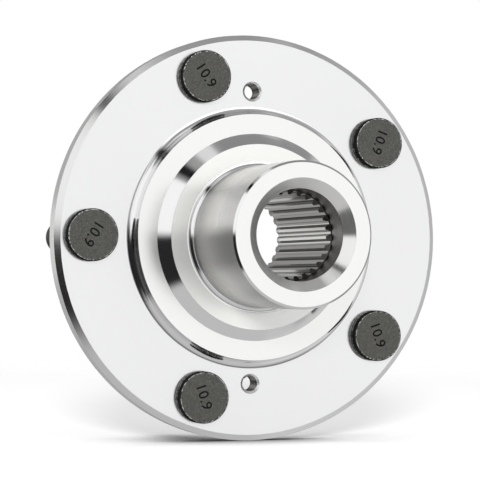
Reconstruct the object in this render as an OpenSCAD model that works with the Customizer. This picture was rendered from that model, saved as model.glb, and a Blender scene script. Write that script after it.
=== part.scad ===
// Driven wheel hub: a turned hub body with an internally splined barrel, and five pressed-in wheel studs.
// The spin axis lies along Y: the wheel bolts on at +Y, and the barrel that carries the bearing points to -Y.
// The origin is on the spin axis, in the plane of the face that the brake disc and wheel sit against.

/* [Flange] */
// Width of the rim left outside the stud heads
rim_land = 3.45; // [2.2:0.05:10]
// Thickness of the flange
flange_t = 8; // [6:0.5:12]
// Width of the chamfer on each edge of the rim, along the radius
rim_chamfer_w = 1.9; // [0.5:0.1:2.2]
// Depth of the same chamfer, along the axis
rim_chamfer_h = 1.3; // [0.5:0.1:2]

/* [Stepped boss] */
// Gap between the boss wall and the stud heads
boss_gap = 6.35; // [5:0.05:9]
// Height of the boss above the flange
boss_h = 4.4; // [3:0.1:8]
// Radius of the fillet between the boss wall and the flange
boss_fillet = 3; // [1:0.5:3]
// Edge break at the top of the boss wall
boss_edge = 0.2; // [0.1:0.1:1]
// Diameter of the upper step, where the bearing's inner ring stops
step_d = 63; // [56:0.5:66]
// Height of the upper step above the boss, which its 45 degree bevel spans
step_h = 3.7; // [2:0.1:6]

/* [Bearing barrel] */
// Diameter of the seat for the bearing's inner ring
barrel_d = 48; // [44:0.5:52]
// Length of the barrel from the upper step to its end face
barrel_l = 39.7; // [34:0.1:60]
// Radius of the fillet at the foot of the barrel
barrel_fillet = 1.4; // [0.5:0.1:2]
// Chamfer on the barrel's outer end edge
barrel_chamfer = 0.7; // [0.3:0.1:1.5]

/* [Bore] */
// Width of the bore's mouth chamfer, along the radius
mouth_w = 3.35; // [1:0.05:3.8]
// Depth of the bore's mouth chamfer, along the axis
mouth_h = 3.2; // [1:0.1:5]
// Depth from the barrel's end face to the first of the spline
lead_bore_l = 12.6; // [8:0.1:18]
// Step from the spline's root circle out to the plain bore ahead of it
lead_step = 0.25; // [0.1:0.05:0.8]

/* [Spline] */
// Number of teeth
spline_teeth = 28; // [26:1:30]
// Module: pitch diameter per tooth
spline_module = 1; // [0.9:0.01:1.05]
// Pressure angle of the involute flanks
spline_pressure_angle = 30; // [25:0.5:35]
// Tooth height inside the pitch circle, in modules
spline_addendum = 0.5; // [0.4:0.05:0.6]
// Root depth outside the pitch circle, in modules
spline_dedendum = 0.75; // [0.65:0.05:0.9]
// Play of the mating teeth along the pitch circle
spline_play = 0.12; // [0:0.01:0.2]
// Height of the rounding at the root of each tooth space
spline_root_round = 0.35; // [0.1:0.05:0.4]
// Depth of the lead-in cone on the spline's bearing-side end
spline_lead_in = 1.3; // [0.5:0.1:2.5]
// Length of the slight relief on the tooth tips before they end
spline_relief_l = 3; // [1:0.5:5]
// Rise of that relief, along the radius
spline_relief = 0.25; // [0.1:0.05:0.4]
// Length of the run-out cone, from the relief to the nut seat
spline_run_out = 1.4; // [0.8:0.1:3]
// Turn of the first tooth space from the horizontal
spline_clock = 4.6; // [0:0.2:12]

/* [Wheel side] */
// Diameter of the pilot that centres the brake disc and the wheel
pilot_d = 64.1; // [56:0.1:72]
// Length of the pilot beyond the mounting face
pilot_l = 10; // [6:0.5:16]
// Chamfer on the pilot's end edge
pilot_chamfer = 1.5; // [0.5:0.1:2.5]
// Width of the relief groove round the pilot's foot
relief_w = 2; // [0.5:0.5:3]
// Depth of the relief groove
relief_h = 0.5; // [0.2:0.1:1]
// Diameter of the recess for the axle nut
nut_recess_d = 46; // [40:0.5:50]
// Depth of that recess below the pilot's end
nut_recess_l = 5.6; // [4:0.2:10]
// Chamfer round the recess's mouth
nut_recess_chamfer = 0.8; // [0.3:0.1:1.5]

/* [Wheel studs] */
// Diameter of the stud circle, which also places the rim, the boss wall and the disc screws
stud_circle_d = 114.3; // [105:0.1:125]
// Nominal diameter of the stud's thread
stud_thread_d = 12; // [10:0.5:14]
// How far the knurled part stands proud of the thread, along the radius
stud_knurl_over = 0.3; // [0.1:0.05:0.5]
// Length of hole at the mounting face that the knurl stops short of
stud_knurl_setback = 1.2; // [1:0.1:2.5]
// How far the neck between thread and knurl lies under the thread, along the radius
stud_neck_under = 0.5; // [0.2:0.05:0.8]
// Length of that neck beyond the mounting face
stud_neck_l = 1.5; // [0.5:0.1:3]
// Play round the knurl, none because the stud is pressed in
stud_press_play = 0; // [0:0.01:0.02]
// Chamfer on the stud holes at the mounting face
stud_hole_chamfer = 0.5; // [0.2:0.1:0.8]
// Diameter of the stud's round head
stud_head_d = 17.6; // [16:0.2:19]
// Thickness of the head
stud_head_h = 3.5; // [2:0.1:6]
// Chamfer on the head's outer edge
stud_head_chamfer = 0.4; // [0.2:0.1:1]
// Length of stud beyond the mounting face
stud_l = 28; // [20:0.5:50]
// Chamfer on the stud's end
stud_tip_chamfer = 1; // [0.5:0.1:2]
// Turn of the nearest stud from the upper screw hole
stud_clock = 18; // [16:0.5:36]

/* [Brake disc screws] */
// How much nearer the spin axis the screws sit than the studs
screw_inset = 7.15; // [4:0.05:7.5]
// Nominal diameter of their thread
screw_d = 6; // [5:0.5:8]
// Chamfer at both ends of each hole
screw_chamfer = 0.45; // [0.2:0.05:0.6]

/* [Hidden] */

body_colour = "#C9C9C6";
stud_colour = "#42433F";
stud_count = 5;
screw_count = 2;
screw_clock = 90;

// Heights along the spin axis, from the mounting face towards the barrel's end
boss_z = flange_t + boss_h;
step_z = boss_z + step_h;
barrel_z = step_z + barrel_l;
lead_bore_z = barrel_z - lead_bore_l;
nut_seat_z = nut_recess_l - pilot_l;
relief_end_z = nut_seat_z + spline_run_out;
relief_start_z = relief_end_z + spline_relief_l;

step_r = step_d / 2;
barrel_r = barrel_d / 2;
pilot_r = pilot_d / 2;
nut_recess_r = nut_recess_d / 2;
boss_fillet_r = min(boss_fillet, boss_h - boss_edge);

spline_pitch_r = spline_teeth * spline_module / 2;
spline_base_r = spline_pitch_r * cos(spline_pressure_angle);
spline_minor_r = spline_pitch_r - spline_addendum * spline_module;
spline_major_r = spline_pitch_r + spline_dedendum * spline_module;
spline_fillet_r = spline_major_r - spline_root_round;
lead_bore_r = spline_major_r + lead_step;
mouth_r = lead_bore_r + mouth_w;

stud_circle_r = stud_circle_d / 2;
stud_thread_r = stud_thread_d / 2;
stud_knurl_r = stud_thread_r + stud_knurl_over;
stud_neck_r = stud_thread_r - stud_neck_under;
stud_hole_r = stud_knurl_r + stud_press_play;
stud_head_r = stud_head_d / 2;

// The stud heads seat on the flange between its rim and the boss, so both are placed from them
flange_r = stud_circle_r + stud_head_r + rim_land;
boss_r = stud_circle_r - stud_head_r - boss_gap;
screw_circle_r = stud_circle_r - screw_inset;

// How far a cutter runs past the face that it opens
overcut = 0.5;
flank_steps = 4;
root_steps = 3;
$fn = 144;

// Turns a shape built along +Z into the hub's own frame, where the barrel points to -Y
module on_spin_axis() {
    rotate([90, 0, 0]) children();
}

// Places copies round the spin axis, at radius r, from the angle start
module around(count, start, r) {
    for (i = [0 : count - 1])
        rotate([0, 0, start + i * 360 / count]) translate([r, 0, 0]) children();
}

// Area that fills the corner between a wall on the left and a floor below, leaving a round of radius r
module corner_fillet(r) {
    difference() {
        square([r, r]);
        translate([r, r]) circle(r);
    }
}

// Half of the hub's section: radius across, height up
module hub_section() {
    outside = [
        [pilot_r - pilot_chamfer, -pilot_l],
        [pilot_r, pilot_chamfer - pilot_l],
        [pilot_r, relief_h],
        [pilot_r + relief_w, relief_h],
        [pilot_r + relief_w, 0],
        [flange_r - rim_chamfer_w, 0],
        [flange_r, rim_chamfer_h],
        [flange_r, flange_t - rim_chamfer_h],
        [flange_r - rim_chamfer_w, flange_t],
        [boss_r, flange_t],
        [boss_r, boss_z - boss_edge],
        [boss_r - boss_edge, boss_z],
        [step_r + step_h, boss_z],
        [step_r, step_z],
        [barrel_r, step_z],
        [barrel_r, barrel_z - barrel_chamfer],
        [barrel_r - barrel_chamfer, barrel_z]
    ];
    inside = [
        [mouth_r, barrel_z],
        [lead_bore_r, barrel_z - mouth_h],
        [lead_bore_r, lead_bore_z],
        [spline_minor_r, lead_bore_z - spline_lead_in],
        [spline_minor_r, relief_start_z],
        [spline_minor_r + spline_relief, relief_end_z],
        [lead_bore_r, nut_seat_z],
        [nut_recess_r, nut_seat_z],
        [nut_recess_r, nut_recess_chamfer - pilot_l],
        [nut_recess_r + nut_recess_chamfer, -pilot_l]
    ];
    polygon(concat(outside, inside));
    translate([boss_r, flange_t]) corner_fillet(boss_fillet_r);
    translate([barrel_r, step_z]) corner_fillet(barrel_fillet);
}

// Involute function, in degrees
function involute(angle) = tan(angle) * 180 / PI - angle;

// Half the angle that a tooth space spans at radius r, between its two involute flanks
function space_half_angle(r) =
    90 / spline_teeth + involute(spline_pressure_angle) + (spline_play / 2 / spline_pitch_r) * 180 / PI
    - involute(acos(spline_base_r / r));

// One side of a tooth space as [radius, angle from its middle]: the flank, then the rounding into the root
function space_side() = [
    for (i = [0 : flank_steps])
        let (r = spline_minor_r - overcut + (spline_fillet_r - spline_minor_r + overcut) * i / flank_steps)
        [r, space_half_angle(r)],
    for (i = [1 : root_steps])
        let (turn = 90 * i / (root_steps + 1))
        [spline_fillet_r + spline_root_round * sin(turn), space_half_angle(spline_fillet_r) * (1 + cos(turn)) / 2]
];

// Outline of all tooth spaces and of the open middle of the bore
module spline_outline() {
    side = space_side();
    last = len(side) - 1;
    space = concat(
        [for (i = [0 : last]) [side[i][0], -side[i][1]]],
        [for (i = [last : -1 : 0]) side[i]]
    );
    polygon([
        for (k = [0 : spline_teeth - 1], p = space)
            let (angle = spline_clock + k * 360 / spline_teeth + p[1])
            p[0] * [cos(angle), sin(angle)]
    ]);
}

// Tooth spaces, broached right through between the plain bore and the nut recess
module spline_spaces() {
    translate([0, 0, nut_seat_z - overcut])
        linear_extrude(height = lead_bore_z - nut_seat_z + 2 * overcut) spline_outline();
}

// Hole for one stud's knurl, chamfered at the mounting face
module stud_hole() {
    translate([0, 0, -overcut]) cylinder(r = stud_hole_r, h = flange_t + 2 * overcut);
    translate([0, 0, -overcut])
        cylinder(r1 = stud_hole_r + stud_hole_chamfer + overcut, r2 = stud_hole_r, h = stud_hole_chamfer + overcut);
}

// Threaded hole for one brake disc screw, at the thread's nominal size and chamfered at both ends
module screw_hole() {
    wide = screw_d / 2 + screw_chamfer + overcut;
    translate([0, 0, -overcut]) cylinder(d = screw_d, h = flange_t + 2 * overcut);
    translate([0, 0, -overcut]) cylinder(r1 = wide, r2 = screw_d / 2, h = screw_chamfer + overcut);
    translate([0, 0, flange_t - screw_chamfer]) cylinder(r1 = screw_d / 2, r2 = wide, h = screw_chamfer + overcut);
}

module hub_body() {
    color(body_colour) on_spin_axis() difference() {
        rotate_extrude() hub_section();
        spline_spaces();
        around(stud_count, screw_clock + stud_clock, stud_circle_r) stud_hole();
        around(screw_count, screw_clock, screw_circle_r) screw_hole();
    }
}

// Half of a stud's section: round head, knurl that grips the flange, neck, thread and chamfered end
module stud_section() {
    polygon([
        [0, flange_t + stud_head_h],
        [stud_head_r - stud_head_chamfer, flange_t + stud_head_h],
        [stud_head_r, flange_t + stud_head_h - stud_head_chamfer],
        [stud_head_r, flange_t],
        [stud_knurl_r, flange_t],
        [stud_knurl_r, stud_knurl_setback + stud_knurl_over + stud_neck_under],
        [stud_neck_r, stud_knurl_setback],
        [stud_neck_r, -stud_neck_l],
        [stud_thread_r, -stud_neck_l - stud_neck_under],
        [stud_thread_r, stud_tip_chamfer - stud_l],
        [stud_thread_r - stud_tip_chamfer, -stud_l],
        [0, -stud_l]
    ]);
}

// The stud with number i, counted round from the one next to the upper screw hole
module wheel_stud(i) {
    color(stud_colour) on_spin_axis()
        rotate([0, 0, screw_clock + stud_clock + (i - 1) * 360 / stud_count])
            translate([stud_circle_r, 0, 0]) rotate_extrude() stud_section();
}

module wheel_stud_1() { wheel_stud(1); }
module wheel_stud_2() { wheel_stud(2); }
module wheel_stud_3() { wheel_stud(3); }
module wheel_stud_4() { wheel_stud(4); }
module wheel_stud_5() { wheel_stud(5); }

hub_body();
wheel_stud_1();
wheel_stud_2();
wheel_stud_3();
wheel_stud_4();
wheel_stud_5();
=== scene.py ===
import math

import bmesh
import bpy
import numpy as np
from mathutils import Matrix


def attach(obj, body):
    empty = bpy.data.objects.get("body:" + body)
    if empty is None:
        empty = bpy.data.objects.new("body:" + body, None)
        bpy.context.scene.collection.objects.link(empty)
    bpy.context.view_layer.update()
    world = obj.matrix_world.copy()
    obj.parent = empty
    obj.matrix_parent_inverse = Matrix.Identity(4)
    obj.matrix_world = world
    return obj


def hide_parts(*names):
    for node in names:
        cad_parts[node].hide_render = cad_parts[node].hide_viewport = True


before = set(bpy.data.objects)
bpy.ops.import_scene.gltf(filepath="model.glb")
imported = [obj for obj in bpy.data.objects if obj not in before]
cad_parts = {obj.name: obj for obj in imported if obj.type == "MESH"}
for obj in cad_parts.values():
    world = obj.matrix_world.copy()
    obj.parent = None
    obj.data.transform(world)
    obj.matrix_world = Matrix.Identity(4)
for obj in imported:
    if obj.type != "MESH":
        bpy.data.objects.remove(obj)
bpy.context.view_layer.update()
print("driven wheel hub: frame loaded")

# Lengths of the pieces are in millimetres and become metres in the mesh. r is the distance from the spin axis and
# h the height from the mounting face towards the barrel's end, so Y is -h.
millimetre = 0.001

# Place and directions of the view, in metres. Lens and sensor are in millimetres.
cameraSettings = {
    "place": (-0.25169, -0.67483, -0.01653),
    "right": (0.93736, -0.34826, 0.00747),
    "up": (-0.01464, -0.01797, 0.99973),
    "back": (-0.34804, -0.93722, -0.02194),
    "lens": 156.27, "sensor": 36.0, "near": 0.01, "far": 20,
}


def makeCamera(s):
    camera = bpy.data.objects.new("camera", bpy.data.cameras.new("camera"))
    bpy.context.scene.collection.objects.link(camera)
    camera.data.lens, camera.data.sensor_width = s["lens"], s["sensor"]
    camera.data.clip_start, camera.data.clip_end = s["near"], s["far"]
    turn = Matrix((s["right"], s["up"], s["back"])).transposed().to_4x4()
    camera.matrix_world = Matrix.Translation(s["place"]) @ turn
    bpy.context.scene.camera = camera


makeCamera(cameraSettings)
print("camera placed")


# A corner turned into an arc that touches both its sides. With A and B where it leaves them, w the cosine of half
# the turn and s from 0 to 1, a point is ((1-s)^2 A + 2s(1-s)w corner + s^2 B) / ((1-s)^2 + 2s(1-s)w + s^2).
# A normal is the direction of travel turned a quarter to the right.
def roundCorner(before, corner, after, radius, steps):
    if radius == 0:
        return corner[None], np.zeros((1, 2))
    back = (before - corner) / np.linalg.norm(before - corner)
    ahead = (after - corner) / np.linalg.norm(after - corner)
    half = math.acos(np.clip(back @ ahead, -1, 1)) / 2
    w, reach = math.sin(half), radius / math.tan(half)
    centre = corner + (back + ahead) / np.linalg.norm(back + ahead) * radius / w
    s = np.linspace(0, 1, steps + 1)[:, None]
    weights = (1 - s) ** 2, 2 * s * (1 - s) * w, s**2
    points = weights[0] * (corner + back * reach) + weights[1] * corner + weights[2] * (corner + ahead * reach)
    points /= sum(weights)
    spoke = (points - centre) / radius
    travel = np.stack([-spoke[:, 1], spoke[:, 0]], 1)
    travel *= np.sign(travel @ (ahead - back))[:, None]
    return points, np.stack([travel[:, 1], -travel[:, 0]], 1)


# A row of corners as one smooth line. Each is [r, h, radius of its arc, steps, finish of what follows and, if not
# the same, finish of the arc]. The first and the last stay sharp.
def smoothLine(corners):
    flat = np.array([c[:2] for c in corners], float)
    count, points, normals, finish = len(corners), [], [], []
    for i, (_, _, radius, steps, what, *arcFinish) in enumerate(corners):
        isInside = 0 < i < count - 1
        arc, arcNormals = roundCorner(flat[i - 1], flat[i], flat[(i + 1) % count], radius if isInside else 0, steps)
        points.append(arc)
        normals.append(arcNormals)
        finish += (arcFinish or [what]) * (len(arc) - 1) + [what]
    return np.concatenate(points), np.concatenate(normals), np.array(finish)


# Rows of a line against turns round an axis through the centre: X = centreX + r cos, Y = -h, Z = centreZ + r sin
def turned(r, h, angles, centre=(0.0, 0.0)):
    return np.stack([centre[0] + r * np.cos(angles), -h, centre[1] + r * np.sin(angles)], -1)


# The line's normals carried round with it: (nr cos, -nh, nr sin)
def turnedNormals(normals, angles):
    nr, nh = normals[:, :1], normals[:, 1:]
    return np.stack([nr * np.cos(angles), -nh + 0 * angles, nr * np.sin(angles)], -1)


# Quads between neighbouring rows and columns, and the row that each starts from. rowsUsed says which rows are kept.
def gridFaces(rows, columns, wrapRows, wrapColumns, rowsUsed=None):
    i, j = np.arange(rows if wrapRows else rows - 1), np.arange(columns if wrapColumns else columns - 1)
    if rowsUsed is not None:
        i = i[rowsUsed[: len(i)]]
    i, j = i[:, None], j[None]
    nextRow, nextColumn = (i + 1) % rows, (j + 1) % columns
    quads = np.stack([i * columns + j, i * columns + nextColumn,
                      nextRow * columns + nextColumn, nextRow * columns + j], -1)
    return quads.reshape(-1, 4), np.repeat(i[:, 0], len(j[0]))


# Where a thread's flank starts and ends, in pitches from the middle of its crest
threadForm = {"flankStart": 1 / 16, "flankEnd": 3 / 8}


# Radius of a screw thread where phase counts its turns: flat for an eighth of the pitch outside, for a quarter
# inside, and straight flanks between
def threadRadius(phase, outer, inner):
    start, end = threadForm["flankStart"], threadForm["flankEnd"]
    away = np.abs((phase + 0.5) % 1 - 0.5)
    return outer - (outer - inner) * np.clip((away - start) / (end - start), 0, 1)


# A thread as a sheet whose rows climb one pitch per turn, h = start + pitch (row + angle / 360), cut off level at
# both ends. limit(h, r) gives the radius that the hole or the stud leaves of r at height h.
def threadSheet(s, limit, centre):
    start, end = threadForm["flankStart"], threadForm["flankEnd"]
    middle = (start + end) / 2
    marks = np.array([-start, start, middle, end, 0.5, 1 - end, 1 - middle])
    turns = math.ceil((s["end"] - s["start"]) / s["pitch"]) + 2
    phase = (np.arange(turns)[:, None] - 1 + marks[None]).ravel()
    angles = np.linspace(0, 2 * math.pi, s["columns"] + 1)
    wanted = s["start"] + s["pitch"] * (phase[:, None] + angles[None] / (2 * math.pi))
    h = np.clip(wanted, s["start"], s["end"])
    r = threadRadius((h - s["start"]) / s["pitch"] - angles[None] / (2 * math.pi), s["outer"], s["inner"])
    return turned(limit(h, r), h, angles[None], centre), gridFaces(len(phase), len(angles), False, False)[0]


# A place on a circle round the spin axis: (circle cos, circle sin)
def onCircle(circle, degrees):
    angle = math.radians(degrees)
    return circle * math.cos(angle), circle * math.sin(angle)


# Merging and levelling in metres, sharp edges in degrees
meshing = {"merge": 2e-7, "sameLevel": 1e-7, "sharp": 35}


# Collects the sheets of one piece, each with its faces, finish and known normals
class Piece:
    def __init__(self):
        self.vertices, self.faces, self.finish, self.normals, self.count = [], [], [], [], 0

    def add(self, vertices, faces, finish, normals=None):
        vertices = vertices.reshape(-1, 3)
        self.vertices.append(vertices * millimetre)
        self.faces += (np.asarray(faces) + self.count).tolist()
        self.finish.append(np.broadcast_to(finish, len(faces)))
        self.normals.append(np.zeros_like(vertices) if normals is None else normals.reshape(-1, 3))
        self.count += len(vertices)

    # Merges the sheets, closes the flat faces given as [height, finish] and sets the known normals
    def build(self, name, materials, flats):
        mesh = bpy.data.meshes.new(name)
        mesh.from_pydata(np.concatenate(self.vertices).tolist(), [], self.faces)
        mesh.polygons.foreach_set("material_index", np.concatenate(self.finish).astype(np.int32))
        carried = mesh.attributes.new("knownNormal", "FLOAT_VECTOR", "POINT")
        carried.data.foreach_set("vector", np.concatenate(self.normals).astype(np.float32).ravel())
        shape = bmesh.new()
        shape.from_mesh(mesh)
        bmesh.ops.remove_doubles(shape, verts=shape.verts, dist=meshing["merge"])
        for height, finish in flats:
            level, near = -height * millimetre, meshing["sameLevel"]
            rim = [e for e in shape.edges if e.is_boundary and all(abs(v.co.y - level) < near for v in e.verts)]
            cap = bmesh.ops.triangle_fill(shape, use_beauty=True, edges=rim, normal=(0, 1, 0))
            for part in cap["geom"]:
                if isinstance(part, bmesh.types.BMFace):
                    part.material_index = finish
        bmesh.ops.recalc_face_normals(shape, faces=shape.faces)
        openEdges = sum(not e.is_manifold for e in shape.edges)
        shape.to_mesh(mesh)
        shape.free()
        mesh.shade_smooth()
        mesh.set_sharp_from_angle(angle=math.radians(meshing["sharp"]))
        self.setNormals(mesh)
        for material in materials:
            mesh.materials.append(material)
        piece = bpy.data.objects.new(name, mesh)
        bpy.context.scene.collection.objects.link(piece)
        mesh.calc_loop_triangles()
        print(f"{name}: {len(mesh.loop_triangles)} triangles, {openEdges} open edges")
        return piece

    # Each corner takes its vertex's known normal, and keeps Blender's own where none is known
    def setNormals(self, mesh):
        known, corners = np.zeros(len(mesh.vertices) * 3, np.float32), np.zeros(len(mesh.loops) * 3, np.float32)
        owner = np.zeros(len(mesh.loops), np.int32)
        mesh.attributes["knownNormal"].data.foreach_get("vector", known)
        mesh.corner_normals.foreach_get("vector", corners)
        mesh.loops.foreach_get("vertex_index", owner)
        known = known.reshape(-1, 3)[owner]
        isKnown = np.abs(known).sum(1, keepdims=True) > 0.5
        mesh.attributes.remove(mesh.attributes["knownNormal"])
        mesh.normals_split_custom_set(np.where(isKnown, known, corners.reshape(-1, 3)).tolist())


# A new shader group. Inputs are given by name with their default, None for a vector, and all outputs are values.
def newGroup(name, inputs, outputs):
    group = bpy.data.node_groups.new(name, "ShaderNodeTree")
    for label, default in inputs.items():
        kind = "NodeSocketVector" if default is None else "NodeSocketFloat"
        socket = group.interface.new_socket(label, in_out="INPUT", socket_type=kind)
        if default is not None:
            socket.default_value = default
    for label in outputs:
        group.interface.new_socket(label, in_out="OUTPUT", socket_type="NodeSocketFloat")
    return group, group.nodes.new("NodeGroupInput"), group.nodes.new("NodeGroupOutput")


# Adds a node, sets its properties and wires or fills its inputs
def addNode(tree, kind, inputs=None, **properties):
    node = tree.nodes.new(kind)
    for key, value in properties.items():
        setattr(node, key, value)
    for key, value in (inputs or {}).items():
        if isinstance(value, bpy.types.NodeSocket):
            tree.links.new(value, node.inputs[key])
        else:
            node.inputs[key].default_value = value
    return node


def addGroup(tree, group, inputs):
    return addNode(tree, "ShaderNodeGroup", inputs, node_tree=group)


def addMath(tree, operation, first, second=0.0):
    return addNode(tree, "ShaderNodeMath", {0: first, 1: second}, operation=operation).outputs[0]


def addNoise(tree, vector, scale, detail, roughness):
    settings = {"Vector": vector, "Scale": scale, "Detail": detail, "Roughness": roughness}
    return addNode(tree, "ShaderNodeTexNoise", settings).outputs["Fac"]


# Maps low to high onto toLow to toHigh, evenly or by smoothstep, and stays within them
def addRange(tree, value, low, high, toLow=0.0, toHigh=1.0, kind="LINEAR"):
    settings = {0: value, 1: low, 2: high, 3: toLow, 4: toHigh}
    return addNode(tree, "ShaderNodeMapRange", settings, interpolation_type=kind).outputs[0]


def mixValues(tree, share, first, second):
    return addNode(tree, "ShaderNodeMix", {"Factor": share, 2: first, 3: second}, data_type="FLOAT").outputs[0]


def mixColours(tree, share, first, second, blend="MIX"):
    settings = {"Factor": share, 6: first, 7: second}
    return addNode(tree, "ShaderNodeMix", settings, data_type="RGBA", blend_type=blend).outputs[2]


# Painted shade as a grey ramp that goes straight from each of the pairs (value, grey) to the next
def addPaintedShadeRamp(tree, value, pairs):
    first, last = pairs[0][0], pairs[-1][0]
    ramp = addNode(tree, "ShaderNodeValToRGB", {0: addRange(tree, value, first, last)})
    stops = ramp.color_ramp.elements
    for i, (at, paintedShade) in enumerate(pairs):
        share = (at - first) / (last - first)
        stop = stops[-1] if i == len(pairs) - 1 else stops[0] if i == 0 else stops.new(share)
        stop.position, stop.color = share, (paintedShade, paintedShade, paintedShade, 1)
    return ramp.outputs[0]


# Each noise by its scale per metre, detail and roughness. Contrast is the noise that counts as darkest and as
# lightest, and depth is the bump's, in metres.
toolMarkSettings = {
    "fine": (2200.0, 2.0, 0.6), "broad": (260.0, 1.0, 0.5), "patch": (55.0, 2.0, 0.5),
    "broadShare": 0.6, "patchShare": 0.4, "contrast": (0.3, 0.7), "depth": 0.00005,
}


# Marks that a cutting tool leaves round the spin axis: noise over (r, h), which is the same all the way round.
# Height is the fine noise, for a bump. Shade is a share of the broad noise and one of soft patches, for colour and
# roughness. Radius is r and Along is h, in metres.
def makeToolMarks(s):
    group, given, out = newGroup("toolMarks", {"Position": None, "Fine": s["fine"][0], "Broad": s["broad"][0]},
                                 ["Height", "Shade", "Radius", "Along"])
    place = given.outputs["Position"]
    split = addNode(group, "ShaderNodeSeparateXYZ", {0: place})
    across = addNode(group, "ShaderNodeCombineXYZ", {0: split.outputs["X"], 1: split.outputs["Z"]}).outputs[0]
    radius = addNode(group, "ShaderNodeVectorMath", {0: across}, operation="LENGTH").outputs["Value"]
    section = addNode(group, "ShaderNodeCombineXYZ", {0: radius, 1: split.outputs["Y"]}).outputs[0]
    fine = addNoise(group, section, given.outputs["Fine"], *s["fine"][1:])
    broad = addNoise(group, section, given.outputs["Broad"], *s["broad"][1:])
    patch = addNoise(group, place, *s["patch"])
    shade = addMath(group, "ADD", addMath(group, "MULTIPLY", broad, s["broadShare"]),
                    addMath(group, "MULTIPLY", patch, s["patchShare"]))
    along = addMath(group, "MULTIPLY", split.outputs["Y"], -1.0)
    for label, value in (("Height", fine), ("Shade", shade), ("Radius", radius), ("Along", along)):
        group.links.new(value, out.inputs[label])
    return group


toolMarks = makeToolMarks(toolMarkSettings)


# A new material with its tree, its shader and the place in the object's own coordinates
def newMaterial(name):
    material = bpy.data.materials.new(name)
    material.use_nodes = True
    tree = material.node_tree
    return material, tree, tree.nodes["Principled BSDF"], addNode(tree, "ShaderNodeTexCoord").outputs["Object"]


# Turned steel. Its colour goes from dark to light and its roughness from low to high with the tool marks, and a
# painted shade over Radius or Along multiplies the colour where the finish has one, darker where shade falls. The
# grain runs round the spin axis, so the tangent is (-z, 0, x) and the gloss spreads across it.
def makeTurnedSteel(name, s):
    material, tree, shader, place = newMaterial(name)
    marks = addGroup(tree, toolMarks, {"Position": place, "Fine": s["fine"], "Broad": s["broad"]}).outputs
    tint = mixColours(tree, marks["Shade"], (*s["dark"], 1), (*s["light"], 1))
    if "paintedShade" in s:
        tint = mixColours(tree, 1.0, tint, addPaintedShadeRamp(tree, marks[s["over"]], s["paintedShade"]), "MULTIPLY")
    tree.links.new(tint, shader.inputs["Base Color"])
    gloss = addRange(tree, marks["Shade"], *toolMarkSettings["contrast"], *s["roughness"])
    tree.links.new(gloss, shader.inputs["Roughness"])
    relief = {"Strength": s["bump"], "Distance": toolMarkSettings["depth"], "Height": marks["Height"]}
    tree.links.new(addNode(tree, "ShaderNodeBump", relief).outputs[0], shader.inputs["Normal"])
    shader.inputs["Metallic"].default_value = s.get("metallic", 1.0)
    if s["grain"]:
        split = addNode(tree, "ShaderNodeSeparateXYZ", {0: place}).outputs
        minusZ = addMath(tree, "MULTIPLY", split["Z"], -1.0)
        around = addNode(tree, "ShaderNodeCombineXYZ", {0: minusZ, 2: split["X"]}).outputs[0]
        shader.inputs["Anisotropic"].default_value = s["grain"]
        shader.inputs["Anisotropic Rotation"].default_value = 0.25  # a quarter turn
        tree.links.new(around, shader.inputs["Tangent"])
    return material


# As for the tool marks. Low and high are the noise at which a spot starts and is full.
mottleSettings = {
    "grain": (2900.0, 3.0, 0.7), "patch": (420.0, 3.0, 0.55), "low": 0.4, "high": 0.62,
    "contrast": (0.3, 0.7), "depth": 0.0001,
}


# Spots and soft patches of a coating, each a noise spread over 0 to 1: Grain from low to high, Patch by contrast
def makeMottle(s):
    group, given, out = newGroup(
        "mottle",
        {"Position": None, "Grain": s["grain"][0], "Patch": s["patch"][0], "Low": s["low"], "High": s["high"]},
        ["Grain", "Patch"],
    )
    place = given.outputs["Position"]
    grain = addNoise(group, place, given.outputs["Grain"], *s["grain"][1:])
    patch = addNoise(group, place, given.outputs["Patch"], *s["patch"][1:])
    group.links.new(addRange(group, grain, given.outputs["Low"], given.outputs["High"]), out.inputs["Grain"])
    group.links.new(addRange(group, patch, *s["contrast"]), out.inputs["Patch"])
    return group


mottle = makeMottle(mottleSettings)


# Dark phosphate coating: dark to light in soft patches, with paler spots over them, which also set its roughness.
# A finish's grain is the scale of the spots' noise and where they start and are full.
def makePhosphate(name, s):
    material, tree, shader, place = newMaterial(name)
    spots = addGroup(tree, mottle, {"Position": place, **dict(zip(("Grain", "Low", "High"), s["grain"]))}).outputs
    base = mixColours(tree, spots["Patch"], (*s["dark"], 1), (*s["light"], 1))
    speck = addMath(tree, "MULTIPLY", spots["Grain"], s["speckle"])
    tree.links.new(mixColours(tree, speck, base, (*s["spot"], 1)), shader.inputs["Base Color"])
    tree.links.new(addRange(tree, spots["Grain"], 0.0, 1.0, *s["roughness"]), shader.inputs["Roughness"])
    relief = {"Strength": s["bump"], "Distance": mottleSettings["depth"], "Height": spots["Grain"]}
    tree.links.new(addNode(tree, "ShaderNodeBump", relief).outputs[0], shader.inputs["Normal"])
    shader.inputs["Metallic"].default_value = s["metallic"]
    shader.inputs["Specular IOR Level"].default_value = s["specular"]
    return material


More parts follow.
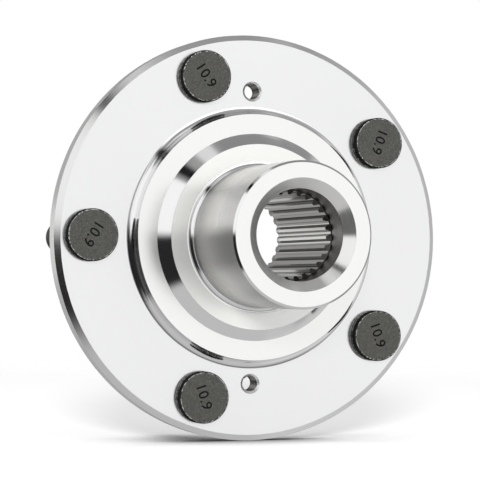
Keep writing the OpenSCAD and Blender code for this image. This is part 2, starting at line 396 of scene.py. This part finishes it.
flangeFace = makeTurnedSteel("flangeFace", {
    "light": (0.863, 0.865, 0.87), "dark": (0.843, 0.845, 0.85), "roughness": (0.16, 0.20), "bump": 0.01,
    "fine": 2200.0, "broad": 260.0, "grain": 0.5, "metallic": 0.93})
ringFace = makeTurnedSteel("ringFace", {
    "light": (0.915, 0.915, 0.90), "dark": (0.895, 0.895, 0.88), "roughness": (0.12, 0.16), "bump": 0.01,
    "fine": 2200.0, "broad": 260.0, "grain": 0.8, "metallic": 0.93})
stepFace = makeTurnedSteel("stepFace", {
    "light": (0.87, 0.87, 0.85), "dark": (0.85, 0.85, 0.83), "roughness": (0.18, 0.24), "bump": 0.01,
    "fine": 2200.0, "broad": 260.0, "grain": 0.8, "metallic": 0.64})
brightTurned = makeTurnedSteel("brightTurned", {
    "light": (0.885, 0.885, 0.89), "dark": (0.865, 0.865, 0.87), "roughness": (0.10, 0.13), "bump": 0.01,
    "fine": 2200.0, "broad": 260.0, "grain": 0.7})
brushedEdge = makeTurnedSteel("brushedEdge", {
    "light": (0.86, 0.86, 0.855), "dark": (0.78, 0.78, 0.78), "roughness": (0.17, 0.24), "bump": 0.12,
    "fine": 2600.0, "broad": 500.0, "grain": 0.7})
# The seat's colour is multiplied by painted shade, darker towards the barrel's foot
groundSeat = makeTurnedSteel("groundSeat", {
    "light": (0.92, 0.91, 0.895), "dark": (0.88, 0.87, 0.855), "roughness": (0.26, 0.32), "bump": 0.004,
    "fine": 2400.0, "broad": 500.0, "grain": 0.5,
    "over": "Along", "paintedShade": [(0.0161, 0.40), (0.020, 0.46), (0.025, 0.66), (0.031, 0.88), (0.038, 1.0)]})
# Painted shade: the threads inside the screw holes are coloured dark
tappedSteel = makeTurnedSteel("tappedSteel", {
    "light": (0.30, 0.29, 0.275), "dark": (0.14, 0.135, 0.125), "roughness": (0.12, 0.20), "bump": 0.05,
    "fine": 2600.0, "broad": 900.0, "grain": 0.0})
mouthCut = makeTurnedSteel("mouthCut", {
    "light": (0.90, 0.895, 0.88), "dark": (0.78, 0.775, 0.76), "roughness": (0.17, 0.24), "bump": 0.10,
    "fine": 2600.0, "broad": 900.0, "grain": 0.95, "metallic": 0.91})
# Painted shade: the bore wall ahead of the teeth is coloured dark
leadBore = makeTurnedSteel("leadBore", {
    "light": (0.30, 0.29, 0.275), "dark": (0.22, 0.21, 0.20), "roughness": (0.28, 0.38), "bump": 0.05,
    "fine": 2200.0, "broad": 600.0, "grain": 0.0})
# The spline's colour is multiplied by painted shade: full on the lands, darker down the flanks, darkest towards the
# roots
broachedBore = makeTurnedSteel("broachedBore", {
    "light": (0.64, 0.63, 0.61), "dark": (0.55, 0.54, 0.52), "roughness": (0.08, 0.13), "bump": 0.0,
    "fine": 1800.0, "broad": 400.0, "grain": 0.0,
    "over": "Radius", "paintedShade": [(0.01350, 1.0), (0.01351, 0.68), (0.0141, 0.62), (0.0143, 0.26), (0.01470, 0.26),
                               (0.01473, 1.0)]})
# Painted shade: the tooth ends deep in the bore are coloured near black
toothEndShade = makeTurnedSteel("toothEndShade", {
    "light": (0.12, 0.115, 0.11), "dark": (0.08, 0.077, 0.072), "roughness": (0.3, 0.4), "bump": 0.02,
    "fine": 1800.0, "broad": 400.0, "grain": 0.0})
footLine = makeTurnedSteel("footLine", {
    "light": (0.90, 0.90, 0.89), "dark": (0.88, 0.88, 0.87), "roughness": (0.3, 0.4), "bump": 0.0,
    "fine": 2200.0, "broad": 260.0, "grain": 0.0, "metallic": 0.4})
rimWall = makeTurnedSteel("rimWall", {
    "light": (0.80, 0.80, 0.795), "dark": (0.74, 0.74, 0.735), "roughness": (0.24, 0.32), "bump": 0.05,
    "fine": 2600.0, "broad": 500.0, "grain": 0.6, "metallic": 0.75})
phosphate = makePhosphate("phosphate", {
    "light": (0.083, 0.082, 0.076), "dark": (0.066, 0.065, 0.060), "spot": (0.25, 0.25, 0.235), "speckle": 0.45,
    "grain": (2100.0, 0.46, 0.68), "roughness": (0.42, 0.58), "bump": 0.25, "metallic": 0.5, "specular": 0.3})
# Painted highlight and reflection: pale spots on the heads' top edge and foot band, spotted like rubbed wear
phosphateEdgeHighlight = makePhosphate("phosphateEdgeHighlight", {  # painted highlight and reflection, in pale spots as if rubbed
    "light": (0.08, 0.08, 0.075), "dark": (0.03, 0.03, 0.027), "spot": (0.95, 0.95, 0.92), "speckle": 0.9,
    "grain": (1400.0, 0.49, 0.56), "roughness": (0.32, 0.45), "bump": 0.25, "metallic": 0.7, "specular": 0.3})
# Painted shade: the heads' sides are the tops' coating, coloured near black and matt
phosphateSideShade = makePhosphate("phosphateSideShade", {
    "light": (0.016, 0.016, 0.015), "dark": (0.008, 0.008, 0.007), "spot": (0.03, 0.03, 0.027), "speckle": 0.3,
    "grain": (2900.0, 0.40, 0.62), "roughness": (0.6, 0.8), "bump": 0.25, "metallic": 0.0, "specular": 0.02})
# Painted shade: the coating inside the stamped figures is coloured near black
phosphateSunkShade = makePhosphate("phosphateSunkShade", {  # inside the stamped figures
    "light": (0.010, 0.010, 0.009), "dark": (0.006, 0.006, 0.005), "spot": (0.02, 0.02, 0.018), "speckle": 0.2,
    "grain": (2900.0, 0.40, 0.62), "roughness": (0.5, 0.7), "bump": 0.2, "metallic": 0.0, "specular": 0.0})
threadSteel = makePhosphate("threadSteel", {
    "light": (0.10, 0.10, 0.09), "dark": (0.05, 0.05, 0.045), "spot": (0.16, 0.16, 0.15), "speckle": 0.3,
    "grain": (2900.0, 0.40, 0.62), "roughness": (0.35, 0.5), "bump": 0.1, "metallic": 0.7, "specular": 0.4})
print("finishes made")

hub = {
    "pilot": 32.05, "pilotEnd": -10.0, "pilotChamfer": 1.5, "reliefWidth": 2.0, "reliefDepth": 0.5,
    "flange": 69.37, "thickness": 8.0, "rimChamfer": (1.9, 1.3),
    "boss": 42.0, "bossTop": 12.4, "bossFillet": 3.0, "step": 31.5, "stepTop": 16.1,
    "barrel": 24.0, "barrelEnd": 55.8, "barrelFillet": 1.4, "footLine": 0.5, "barrelChamfer": 0.7,
    "mouth": 18.35, "mouthDepth": 3.2, "leadBore": 15.0, "leadEnd": 43.2,
    "recess": 23.0, "recessFloor": -4.4, "recessChamfer": 0.8,
    "edge": 0.14, "edgeSteps": 4, "filletSteps": 12,  # arcs of the broken edges and of the fillets
}
studs = {
    "circle": 57.15, "count": 5, "first": 108.0, "hole": 6.3, "holeChamfer": 0.5, "columns": 96,
    "head": 8.8, "headHeight": 3.5, "headChamfer": 0.4, "footBand": (0.6, 0.9), "topRing": 1.6,
    "underArc": (0.1, 3), "sideArc": (0.15, 3), "topArc": (0.32, 4),  # radius and steps
    "thread": 6.0, "threadRoot": 5.08, "pitch": 1.5, "length": 28.0, "tipChamfer": 1.0,
    "neck": 5.5, "neckFrom": -1.5, "neckTo": 1.2, "knurl": 6.3, "knurlRoot": 6.08,
}
screws = {
    "circle": 50.0, "angles": (90.0, 270.0), "chamfer": 0.45, "chamferFinish": 0.06,
    "start": 0.0, "end": 8.0, "outer": 3.0, "inner": 2.46, "pitch": 1.0, "columns": 56,
}
spline = {
    "teeth": 28, "module": 1.0, "pressure": 30.0, "addendum": 0.5, "dedendum": 0.75, "play": 0.12,
    "rootRound": 0.35, "leadIn": 1.3, "reliefStart": 0.0, "reliefEnd": -3.0, "relief": 0.25, "clock": 4.6,
    "flankSteps": 6, "rootSteps": 4, "landSteps": 3,
}

hubFinishes = [brightTurned, brushedEdge, groundSeat, broachedBore, toothEndShade, rimWall, mouthCut, leadBore,
               flangeFace, ringFace, stepFace, tappedSteel, footLine]
bright, brushed, ground, bore, ends, wall, mouth, lead, face, ring, matt, tapped, pale = range(len(hubFinishes))
flatWithHoles = 99  # stands for a finish where a flat has holes in it and is closed later


# The spline all round as radius over angle. A tooth pitch is a land, an involute flank, a rounded root and the
# flank back. The space's half angle at radius r is its value at the pitch circle, less inv(acos(base / r)), where
# inv(a) = tan(a) - a.
def splineOutline(s):
    pitchRadius, pressure = s["teeth"] * s["module"] / 2, math.radians(s["pressure"])
    base = pitchRadius * math.cos(pressure)
    tip, root = pitchRadius - s["addendum"] * s["module"], pitchRadius + s["dedendum"] * s["module"]
    atPitch = math.pi / 2 / s["teeth"] + math.tan(pressure) - pressure + s["play"] / 2 / pitchRadius
    flank = np.linspace(tip, root - s["rootRound"], s["flankSteps"] + 1)
    slope = np.arccos(base / flank)
    flankAngle = atPitch - (np.tan(slope) - slope)
    turn = np.linspace(0, math.pi / 2, s["rootSteps"] + 2)[1:-1]
    rootRadius = flank[-1] + s["rootRound"] * np.sin(turn)
    rootAngle = flankAngle[-1] * (1 + np.cos(turn)) / 2
    sideRadius, sideAngle = np.concatenate([flank, rootRadius]), np.concatenate([flankAngle, rootAngle])
    land = np.linspace(-2 * math.pi / s["teeth"] + flankAngle[0], -flankAngle[0], s["landSteps"] + 1)[1:-1]
    radius = np.concatenate([np.full(len(land), tip), sideRadius, sideRadius[::-1]])
    angle = np.concatenate([land, -sideAngle, sideAngle[::-1]])
    starts = math.radians(s["clock"]) + np.arange(s["teeth"]) * 2 * math.pi / s["teeth"]
    return np.tile(radius, s["teeth"]), (starts[:, None] + angle[None]).ravel(), tip


# From the nut recess over the pilot, the rim and the boss to the barrel's end and into its bore
def hubCorners(h):
    edge = h["edge"], h["edgeSteps"]
    chamferIn, chamferDown = h["rimChamfer"]
    shoulder = h["barrel"] + h["barrelFillet"]
    return [
        (h["leadBore"], h["recessFloor"], 0, 1, bright),
        (h["recess"], h["recessFloor"], *edge, bright),
        (h["recess"], h["pilotEnd"] + h["recessChamfer"], *edge, brushed),
        (h["recess"] + h["recessChamfer"], h["pilotEnd"], *edge, bright),
        (h["pilot"] - h["pilotChamfer"], h["pilotEnd"], *edge, brushed),
        (h["pilot"], h["pilotEnd"] + h["pilotChamfer"], *edge, ground),
        (h["pilot"], h["reliefDepth"], *edge, brushed),
        (h["pilot"] + h["reliefWidth"], h["reliefDepth"], *edge, brushed),
        (h["pilot"] + h["reliefWidth"], 0, *edge, flatWithHoles, bright),
        (h["flange"] - chamferIn, 0, *edge, brushed),
        (h["flange"], chamferDown, *edge, wall),
        (h["flange"], h["thickness"] - chamferDown, *edge, brushed),
        (h["flange"] - chamferIn, h["thickness"], *edge, flatWithHoles, bright),
        (h["boss"], h["thickness"], h["bossFillet"], h["filletSteps"], bright),
        (h["boss"], h["bossTop"], *edge, ring, bright),
        (h["step"] + h["stepTop"] - h["bossTop"], h["bossTop"], *edge, bright),
        (h["step"], h["stepTop"], *edge, matt, bright),
        (shoulder + h["footLine"], h["stepTop"], 0, 1, pale),
        (h["barrel"], h["stepTop"], h["barrelFillet"], h["filletSteps"], ground, bright),
        (h["barrel"], h["barrelEnd"] - h["barrelChamfer"], *edge, bright),
        (h["barrel"] - h["barrelChamfer"], h["barrelEnd"], *edge, ring),
        (h["mouth"], h["barrelEnd"], *edge, mouth),
        (h["leadBore"], h["barrelEnd"] - h["mouthDepth"], *edge, lead),
        (h["leadBore"], h["leadEnd"], 0, 1, ends),
    ]


# The hub's line and the splined bore as one closed sheet. Every column has its own angle of the tooth outline. The
# bore's rows follow the wider of that outline and the lead-in cone, the relief or the run-out cone.
def addHubSheet(body, h, s):
    line, lineNormals, finish = smoothLine(hubCorners(h))
    outline, angles, tip = splineOutline(s)
    columns = len(angles)
    relieved = np.maximum(outline, tip + s["relief"])
    runOut = (h["recessFloor"] - s["reliefEnd"]) / (h["leadBore"] - tip - s["relief"])
    boreR = np.stack([outline, outline, relieved, relieved])
    boreH = np.stack([
        h["leadEnd"] - s["leadIn"] * (h["leadBore"] - outline) / (h["leadBore"] - tip),
        np.full(columns, s["reliefStart"]),
        np.full(columns, s["reliefEnd"]),
        s["reliefEnd"] + runOut * (relieved - tip - s["relief"]),
    ])
    r = np.concatenate([np.broadcast_to(line[:, :1], (len(line), columns)), boreR])
    height = np.concatenate([np.broadcast_to(line[:, 1:], (len(line), columns)), boreH])
    finish = np.concatenate([finish, [bore] * len(boreR)])
    normals = np.zeros((len(r), columns, 3))
    normals[: len(line)] = turnedNormals(lineNormals, angles)
    faces, strip = gridFaces(len(r), columns, True, True, finish != flatWithHoles)
    body.add(turned(r, height, angles[None]), faces, finish[strip], normals)
    print(f"hub outline: {len(r)} rows of {columns}")


# The studs' holes through the flange: three rings turned round each hole's own centre, chamfered on the mounting face
def addStudHoles(body, s, thickness):
    around = np.linspace(0, 2 * math.pi, s["columns"], endpoint=False)
    r = np.array([s["hole"] + s["holeChamfer"], s["hole"], s["hole"]])[:, None]
    h = np.array([0, s["holeChamfer"], thickness])[:, None] + 0 * around[None]
    for i in range(s["count"]):
        centre = onCircle(s["circle"], s["first"] + 360 / s["count"] * i)
        body.add(turned(r, h, around[None], centre), gridFaces(len(r), len(around), False, True)[0], brushed)


# The threaded screw holes. The thread's inner radius may not be less than the chamfer's, wide - h, at either end.
def addScrewHoles(body, s):
    wide = s["outer"] + s["chamfer"]
    for degrees in s["angles"]:
        centre = onCircle(s["circle"], degrees)
        sheet, faces = threadSheet(
            s, lambda h, r: np.maximum(r, np.maximum(wide - h, wide - (s["end"] - h))), centre
        )
        away = np.hypot(sheet[..., 0] - centre[0], sheet[..., 2] - centre[1]).ravel()[faces].mean(1)
        height = -sheet[..., 1].ravel()[faces].mean(1)
        onChamfer = away < wide - np.minimum(height, s["end"] - height) + s["chamferFinish"]
        body.add(sheet, faces, np.where(onChamfer, wall, tapped))


def makeHubBody():
    body = Piece()
    addHubSheet(body, hub, spline)
    addStudHoles(body, studs, hub["thickness"])
    addScrewHoles(body, screws)
    return body.build("hubBody", hubFinishes, [(0.0, face), (hub["thickness"], face)])


hubBody = makeHubBody()
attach(hubBody, "root")
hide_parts("hub_body")

stamp = {
    "figures": "10.9",  # strength class of the stud
    "size": 5.2, "spacing": 1.04, "bold": 0.03, "depth": 0.3, "curveSteps": 5, "merge": 1e-4,
    "turns": (-55.0, -121.5, -72.0, -72.0, -109.0),  # how each stud happens to lie in its hole
}


# The stamp's figures as flat faces round the origin, in millimetres, with the edges round them
def stampFaces(s):
    words = bpy.data.curves.new("stamp", "FONT")
    words.body, words.size, words.space_character = s["figures"], s["size"], s["spacing"]
    words.align_x, words.align_y, words.resolution_u, words.offset = "CENTER", "CENTER", s["curveSteps"], s["bold"]
    holder = bpy.data.objects.new("stamp", words)
    flat = bpy.data.meshes.new_from_object(holder)
    shape = bmesh.new()
    shape.from_mesh(flat)
    bmesh.ops.remove_doubles(shape, verts=shape.verts, dist=s["merge"])
    shape.verts.index_update()
    points = np.array([v.co[:2] for v in shape.verts])
    faces = [[v.index for v in f.verts] for f in shape.faces]
    rim = [[v.index for v in e.verts] for e in shape.edges if e.is_boundary]
    shape.free()
    bpy.data.objects.remove(holder)
    return points - (points.max(0) + points.min(0)) / 2, faces, rim


stampPoints, stampFills, stampRim = stampFaces(stamp)
studFinishes = [phosphate, phosphateEdgeHighlight, phosphateSunkShade, threadSteel, phosphateSideShade]
coat, wearAndHighlight, sunk, threaded, side = range(len(studFinishes))


# Thread, neck and knurl. The thread's radius is at most thread - tipChamfer + (h + length) towards the tip, and
# within neck - (neckFrom - h) and neck + (neckFrom - h) towards the neck, which it so meets all round. The knurl's
# radius swings between crest and root from column to column.
def addShank(stud, s, centre, angles, crest, thickness):
    sheet, faces = threadSheet(
        {"start": -s["length"], "end": s["neckFrom"], "outer": s["thread"], "inner": s["threadRoot"],
         "pitch": s["pitch"], "columns": s["columns"]},
        lambda h, r: np.clip(np.minimum(r, s["thread"] - s["tipChamfer"] + h + s["length"]),
                             s["neck"] - s["neckFrom"] + h, s["neck"] + s["neckFrom"] - h),
        centre,
    )
    stud.add(sheet, faces, threaded)
    neck = np.full(s["columns"], s["neck"])
    levels = np.array([s["neckFrom"], s["neckTo"], s["neckTo"] + s["knurl"] - s["neck"], thickness])
    r, h = np.stack([neck, neck, crest, crest]), levels[:, None] + 0 * angles[None]
    stud.add(turned(r, h, angles[None], centre), gridFaces(len(levels), len(angles), False, True)[0], threaded)


# The head's line turned round the stud's centre, from the knurl round its edge to the ring in which the figures stand
def addHead(stud, s, centre, angles, crest, thickness):
    top = thickness + s["headHeight"]
    # The sides take painted shade, near black, and the foot band and top edge painted highlight and reflection in
    # pale spots
    corners = [
        (s["knurl"], thickness, 0, 1, coat),
        (s["head"], thickness, *s["underArc"], side),
        (s["head"], thickness + s["footBand"][0], 0, 1, wearAndHighlight),
        (s["head"], thickness + s["footBand"][1], 0, 1, side),
        (s["head"], top - s["headChamfer"], *s["sideArc"], side),
        (s["head"] - s["headChamfer"], top, *s["topArc"], coat, wearAndHighlight),
        (s["head"] - s["topRing"], top, 0, 1, coat),
    ]
    line, lineNormals, finish = smoothLine(corners)
    r = np.broadcast_to(line[:, :1], (len(line), s["columns"])).copy()
    r[0] = crest
    height = np.broadcast_to(line[:, 1:], r.shape)
    faces, strip = gridFaces(len(r), s["columns"], False, True)
    stud.add(turned(r, height, angles[None], centre), faces, finish[strip], turnedNormals(lineNormals, angles))


# Figures sunk into the head, turned by t: x = centreX + u cos t - v sin t, z = centreZ + u sin t + v cos t. Their
# faces lie at the bottom, and walls go up to the top.
def addFigures(stud, s, centre, degrees, top):
    t = math.radians(degrees)
    x = centre[0] + stampPoints[:, 0] * math.cos(t) - stampPoints[:, 1] * math.sin(t)
    z = centre[1] + stampPoints[:, 0] * math.sin(t) + stampPoints[:, 1] * math.cos(t)
    low = np.stack([x, np.full(len(x), s["depth"] - top), z], -1)
    high = np.stack([x, np.full(len(x), -top), z], -1)
    count, first = len(x), stud.count
    walls = [[i, j, j + count, i + count] for i, j in stampRim]
    stud.add(np.concatenate([low, high]), walls, sunk)
    stud.faces += [[v + first for v in f] for f in stampFills]
    stud.finish.append(np.full(len(stampFills), sunk))


# A stud from its threaded end to its head
def makeStud(number):
    s, thickness = studs, hub["thickness"]
    top = thickness + s["headHeight"]
    centre = onCircle(s["circle"], s["first"] + 360 / s["count"] * (number - 1))
    angles = np.linspace(0, 2 * math.pi, s["columns"], endpoint=False)
    crest = np.where(np.arange(s["columns"]) % 2 == 0, s["knurl"], s["knurlRoot"])
    stud = Piece()
    addShank(stud, s, centre, angles, crest, thickness)
    addHead(stud, s, centre, angles, crest, thickness)
    addFigures(stud, stamp, centre, stamp["turns"][number - 1], top)
    return stud.build(f"wheelStud{number}", studFinishes, [(-s["length"], threaded), (top, coat)])


for number in range(1, studs["count"] + 1):
    wheelStud = makeStud(number)
    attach(wheelStud, "root")
    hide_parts(f"wheel_stud_{number}")
print("wheel studs made")

# Lengths in metres. Lift is what the camera sees added to the disc's own light, contact how far the painted shadow
# under the rim reaches, and darkest what is left of the light there.
floorSettings = {
    "level": -0.0694, "radius": 0.9, "segments": 96, "fadeFrom": 0.42, "fadeTo": 0.75,
    "colour": (0.92, 0.92, 0.92), "roughness": 0.9, "lift": 0.37,
    "contact": 0.034, "contactTone": (0.33, 0.80), "darkest": 0.06, "samples": 8,
}


# A flat disc whose material fades to nothing away from the hub, by smoothstep of the distance from the middle
def makeFloor(s):
    angles = np.linspace(0, 2 * math.pi, s["segments"], endpoint=False)
    rim = np.stack([s["radius"] * np.cos(angles), s["radius"] * np.sin(angles), 0 * angles + s["level"]], -1)
    mesh = bpy.data.meshes.new("floor")
    mesh.from_pydata(rim.tolist(), [], [list(range(s["segments"]))])
    floor = bpy.data.objects.new("floor", mesh)
    bpy.context.scene.collection.objects.link(floor)
    material, tree, shader, place = newMaterial("floor")
    # The soft shadow where the rim meets the floor, painted into the floor's colour and lift: how much of what is
    # within reach stands in the light's way
    occlusion = addNode(tree, "ShaderNodeAmbientOcclusion", {"Distance": s["contact"]}, samples=s["samples"])
    clear = addRange(tree, occlusion.outputs["AO"], *s["contactTone"], s["darkest"])
    colour = mixColours(tree, clear, (0, 0, 0, 1), (*s["colour"], 1))
    tree.links.new(colour, shader.inputs["Base Color"])
    shader.inputs["Roughness"].default_value = s["roughness"]
    shader.inputs["Specular IOR Level"].default_value = 0.0
    away = addNode(tree, "ShaderNodeVectorMath", {0: place}, operation="LENGTH").outputs["Value"]
    alpha = addRange(tree, away, s["fadeFrom"], s["fadeTo"], 1.0, 0.0, "SMOOTHSTEP")
    tree.links.new(alpha, shader.inputs["Alpha"])
    lift = addMath(tree, "MULTIPLY", addSeen(tree), addMath(tree, "MULTIPLY", clear, s["lift"]))
    tree.links.new(lift, shader.inputs["Emission Strength"])
    shader.inputs["Emission Color"].default_value = (1, 1, 1, 1)
    material.cycles.emission_sampling = "NONE"
    mesh.materials.append(material)
    floor.visible_glossy = False


# 1 where the surface is seen by the camera, straight or through something clear
def addSeen(tree):
    path = addNode(tree, "ShaderNodeLightPath").outputs
    return addMath(tree, "MAXIMUM", path["Is Camera Ray"], path["Is Transmission Ray"])


makeFloor(floorSettings)
print("floor laid")

# The studio as seen from the hub, in degrees: azimuth 0 is -Y and 90 is +X, elevation is above the horizon.
# Each soft-edged panel is [azimuth from, to, elevation from, to, edge, brightness], later ones in front.
studio = {
    "walls": 0.40,
    "panels": [
        (-180, 180, -91, -34, 12, 0.56),
        (-180, 180, 40, 95, 12, 0.27),
        (96, 181, -44, 60, 10, 0.28),
        (171, 181, -60, -6, 6, 0.45),
        (-181, -165, -60, -4, 8, 0.45),
        (50, 96, -62, 37, 8, 0.69),
        (20, 96, 33, 64, 10, 0.52),
        (62, 75, 36, 55, 6, 0.14),
        (-60, 60, 46, 77, 8, 0.36),
        (-72, -22, 67, 79, 5, 0.85),
        (-62, -26, 54, 76, 7, 0.85),
        (-110, -40, -2, 45, 4, 1.02),
        (-45, 30, 6, 30, 6, 0.95),
        (0, 34, 12, 36, 8, 1.55),
        (-22, -4, 5, 24, 6, 0.36),
        (-10, 34, -28, -11, 8, 0.20),
        (2, 40, -11, 16, 6, 1.0),
        (-106, -54, -37, 2.0, 8, 0.02),
        (-60, -28, -28, 1.5, 8, 0.02),
        (-38, -6, -22, 4.5, 7, 0.015),
        (-170, -150, -7, 7, 4, 1.0),
    ],
    # The dark edge of an overhead screen, where tilt . (x, z) = level. It widens with the azimuth by spread per
    # degree, is full over the inner share of its width, and shows inside its window, which is given as a panel is.
    "line": {"tilt": (0.643, 0.766), "level": 0.25, "width": 0.028, "spread": 0.0011, "full": 0.3,
             "window": (-92, 6, 5, 80, 8), "brightness": 0.0},
    "diffuse": 0.45,  # what matt surfaces get
    "background": 1.0,  # what the camera sees
    "lamps": [("keyLamp", (-1.03, -2.69, 0.83), 0.55, 86.0)],  # name, place, size in metres and power
}


# 1 inside the panel and 0 outside, with smoothstep edges: the product of four steps, one for each side
def makePanelGroup():
    names = ["Azimuth", "Elevation", "From", "To", "Low", "High", "Edge"]
    group, given, out = newGroup("panel", dict.fromkeys(names, 0.0), ["Mask"])
    mask = None
    for value, low, high in (("Azimuth", "From", "To"), ("Elevation", "Low", "High")):
        for bound, sign in ((low, 1.0), (high, -1.0)):
            beyond = addMath(group, "SUBTRACT", given.outputs[value], given.outputs[bound])
            share = addMath(group, "DIVIDE", addMath(group, "MULTIPLY", beyond, sign), given.outputs["Edge"])
            soft = addRange(group, share, -0.5, 0.5, kind="SMOOTHSTEP")
            mask = soft if mask is None else addMath(group, "MULTIPLY", mask, soft)
    group.links.new(mask, out.inputs["Mask"])
    return group


# The light from each direction: walls, panels over them and the line over those for reflections, one plain level
# for matt surfaces and another for what the camera sees
def makeStudio(s):
    world = bpy.data.worlds.new("studio")
    bpy.context.scene.world = world
    world.use_nodes = True
    tree = world.node_tree
    tree.nodes.clear()
    panel = makePanelGroup()
    direction = addNode(tree, "ShaderNodeTexCoord").outputs["Generated"]
    split = addNode(tree, "ShaderNodeSeparateXYZ", {0: direction}).outputs
    minusY = addMath(tree, "MULTIPLY", split["Y"], -1.0)
    azimuth = addMath(tree, "DEGREES", addMath(tree, "ARCTAN2", split["X"], minusY))
    elevation = addMath(tree, "DEGREES", addMath(tree, "ARCSINE", split["Z"]))

    def addMask(bounds):
        sides = dict(zip(("From", "To", "Low", "High", "Edge"), bounds))
        return addGroup(tree, panel, {"Azimuth": azimuth, "Elevation": elevation, **sides}).outputs[0]

    light = addNode(tree, "ShaderNodeValue").outputs[0]
    light.default_value = s["walls"]
    for *bounds, brightness in s["panels"]:
        light = mixValues(tree, addMask(bounds), light, brightness)

    line = s["line"]
    across = addMath(tree, "ADD", addMath(tree, "MULTIPLY", split["X"], line["tilt"][0]),
                     addMath(tree, "MULTIPLY", split["Z"], line["tilt"][1]))
    growth = addMath(tree, "MULTIPLY", addMath(tree, "ABSOLUTE", azimuth), line["spread"])
    distance = addMath(tree, "ABSOLUTE", addMath(tree, "SUBTRACT", across, line["level"]))
    near = addMath(tree, "DIVIDE", distance, addMath(tree, "ADD", growth, line["width"]))
    onLine = addRange(tree, near, 1.0, line["full"], kind="SMOOTHSTEP")
    onLine = addMath(tree, "MULTIPLY", onLine, addMask(line["window"]))
    light = mixValues(tree, onLine, light, line["brightness"])

    isDiffuse = addNode(tree, "ShaderNodeLightPath").outputs["Is Diffuse Ray"]
    light = mixValues(tree, isDiffuse, light, s["diffuse"])
    light = mixValues(tree, addSeen(tree), light, s["background"])
    sky = addNode(tree, "ShaderNodeBackground", {"Color": (1, 1, 1, 1), "Strength": light})
    tree.links.new(sky.outputs[0], addNode(tree, "ShaderNodeOutputWorld").inputs[0])


# A round lamp that points at the hub and isn't mirrored in it
def makeLamp(name, place, size, power):
    lamp = bpy.data.objects.new(name, bpy.data.lights.new(name, "AREA"))
    lamp.data.shape, lamp.data.size, lamp.data.energy = "DISK", size, power
    lamp.location = place
    lamp.rotation_euler = (-lamp.location).to_track_quat("-Z", "Y").to_euler()
    lamp.visible_glossy = False
    bpy.context.scene.collection.objects.link(lamp)


makeStudio(studio)
for lampSettings in studio["lamps"]:
    makeLamp(*lampSettings)
print("studio lit")

bpy.context.scene.view_settings.view_transform = "Standard"
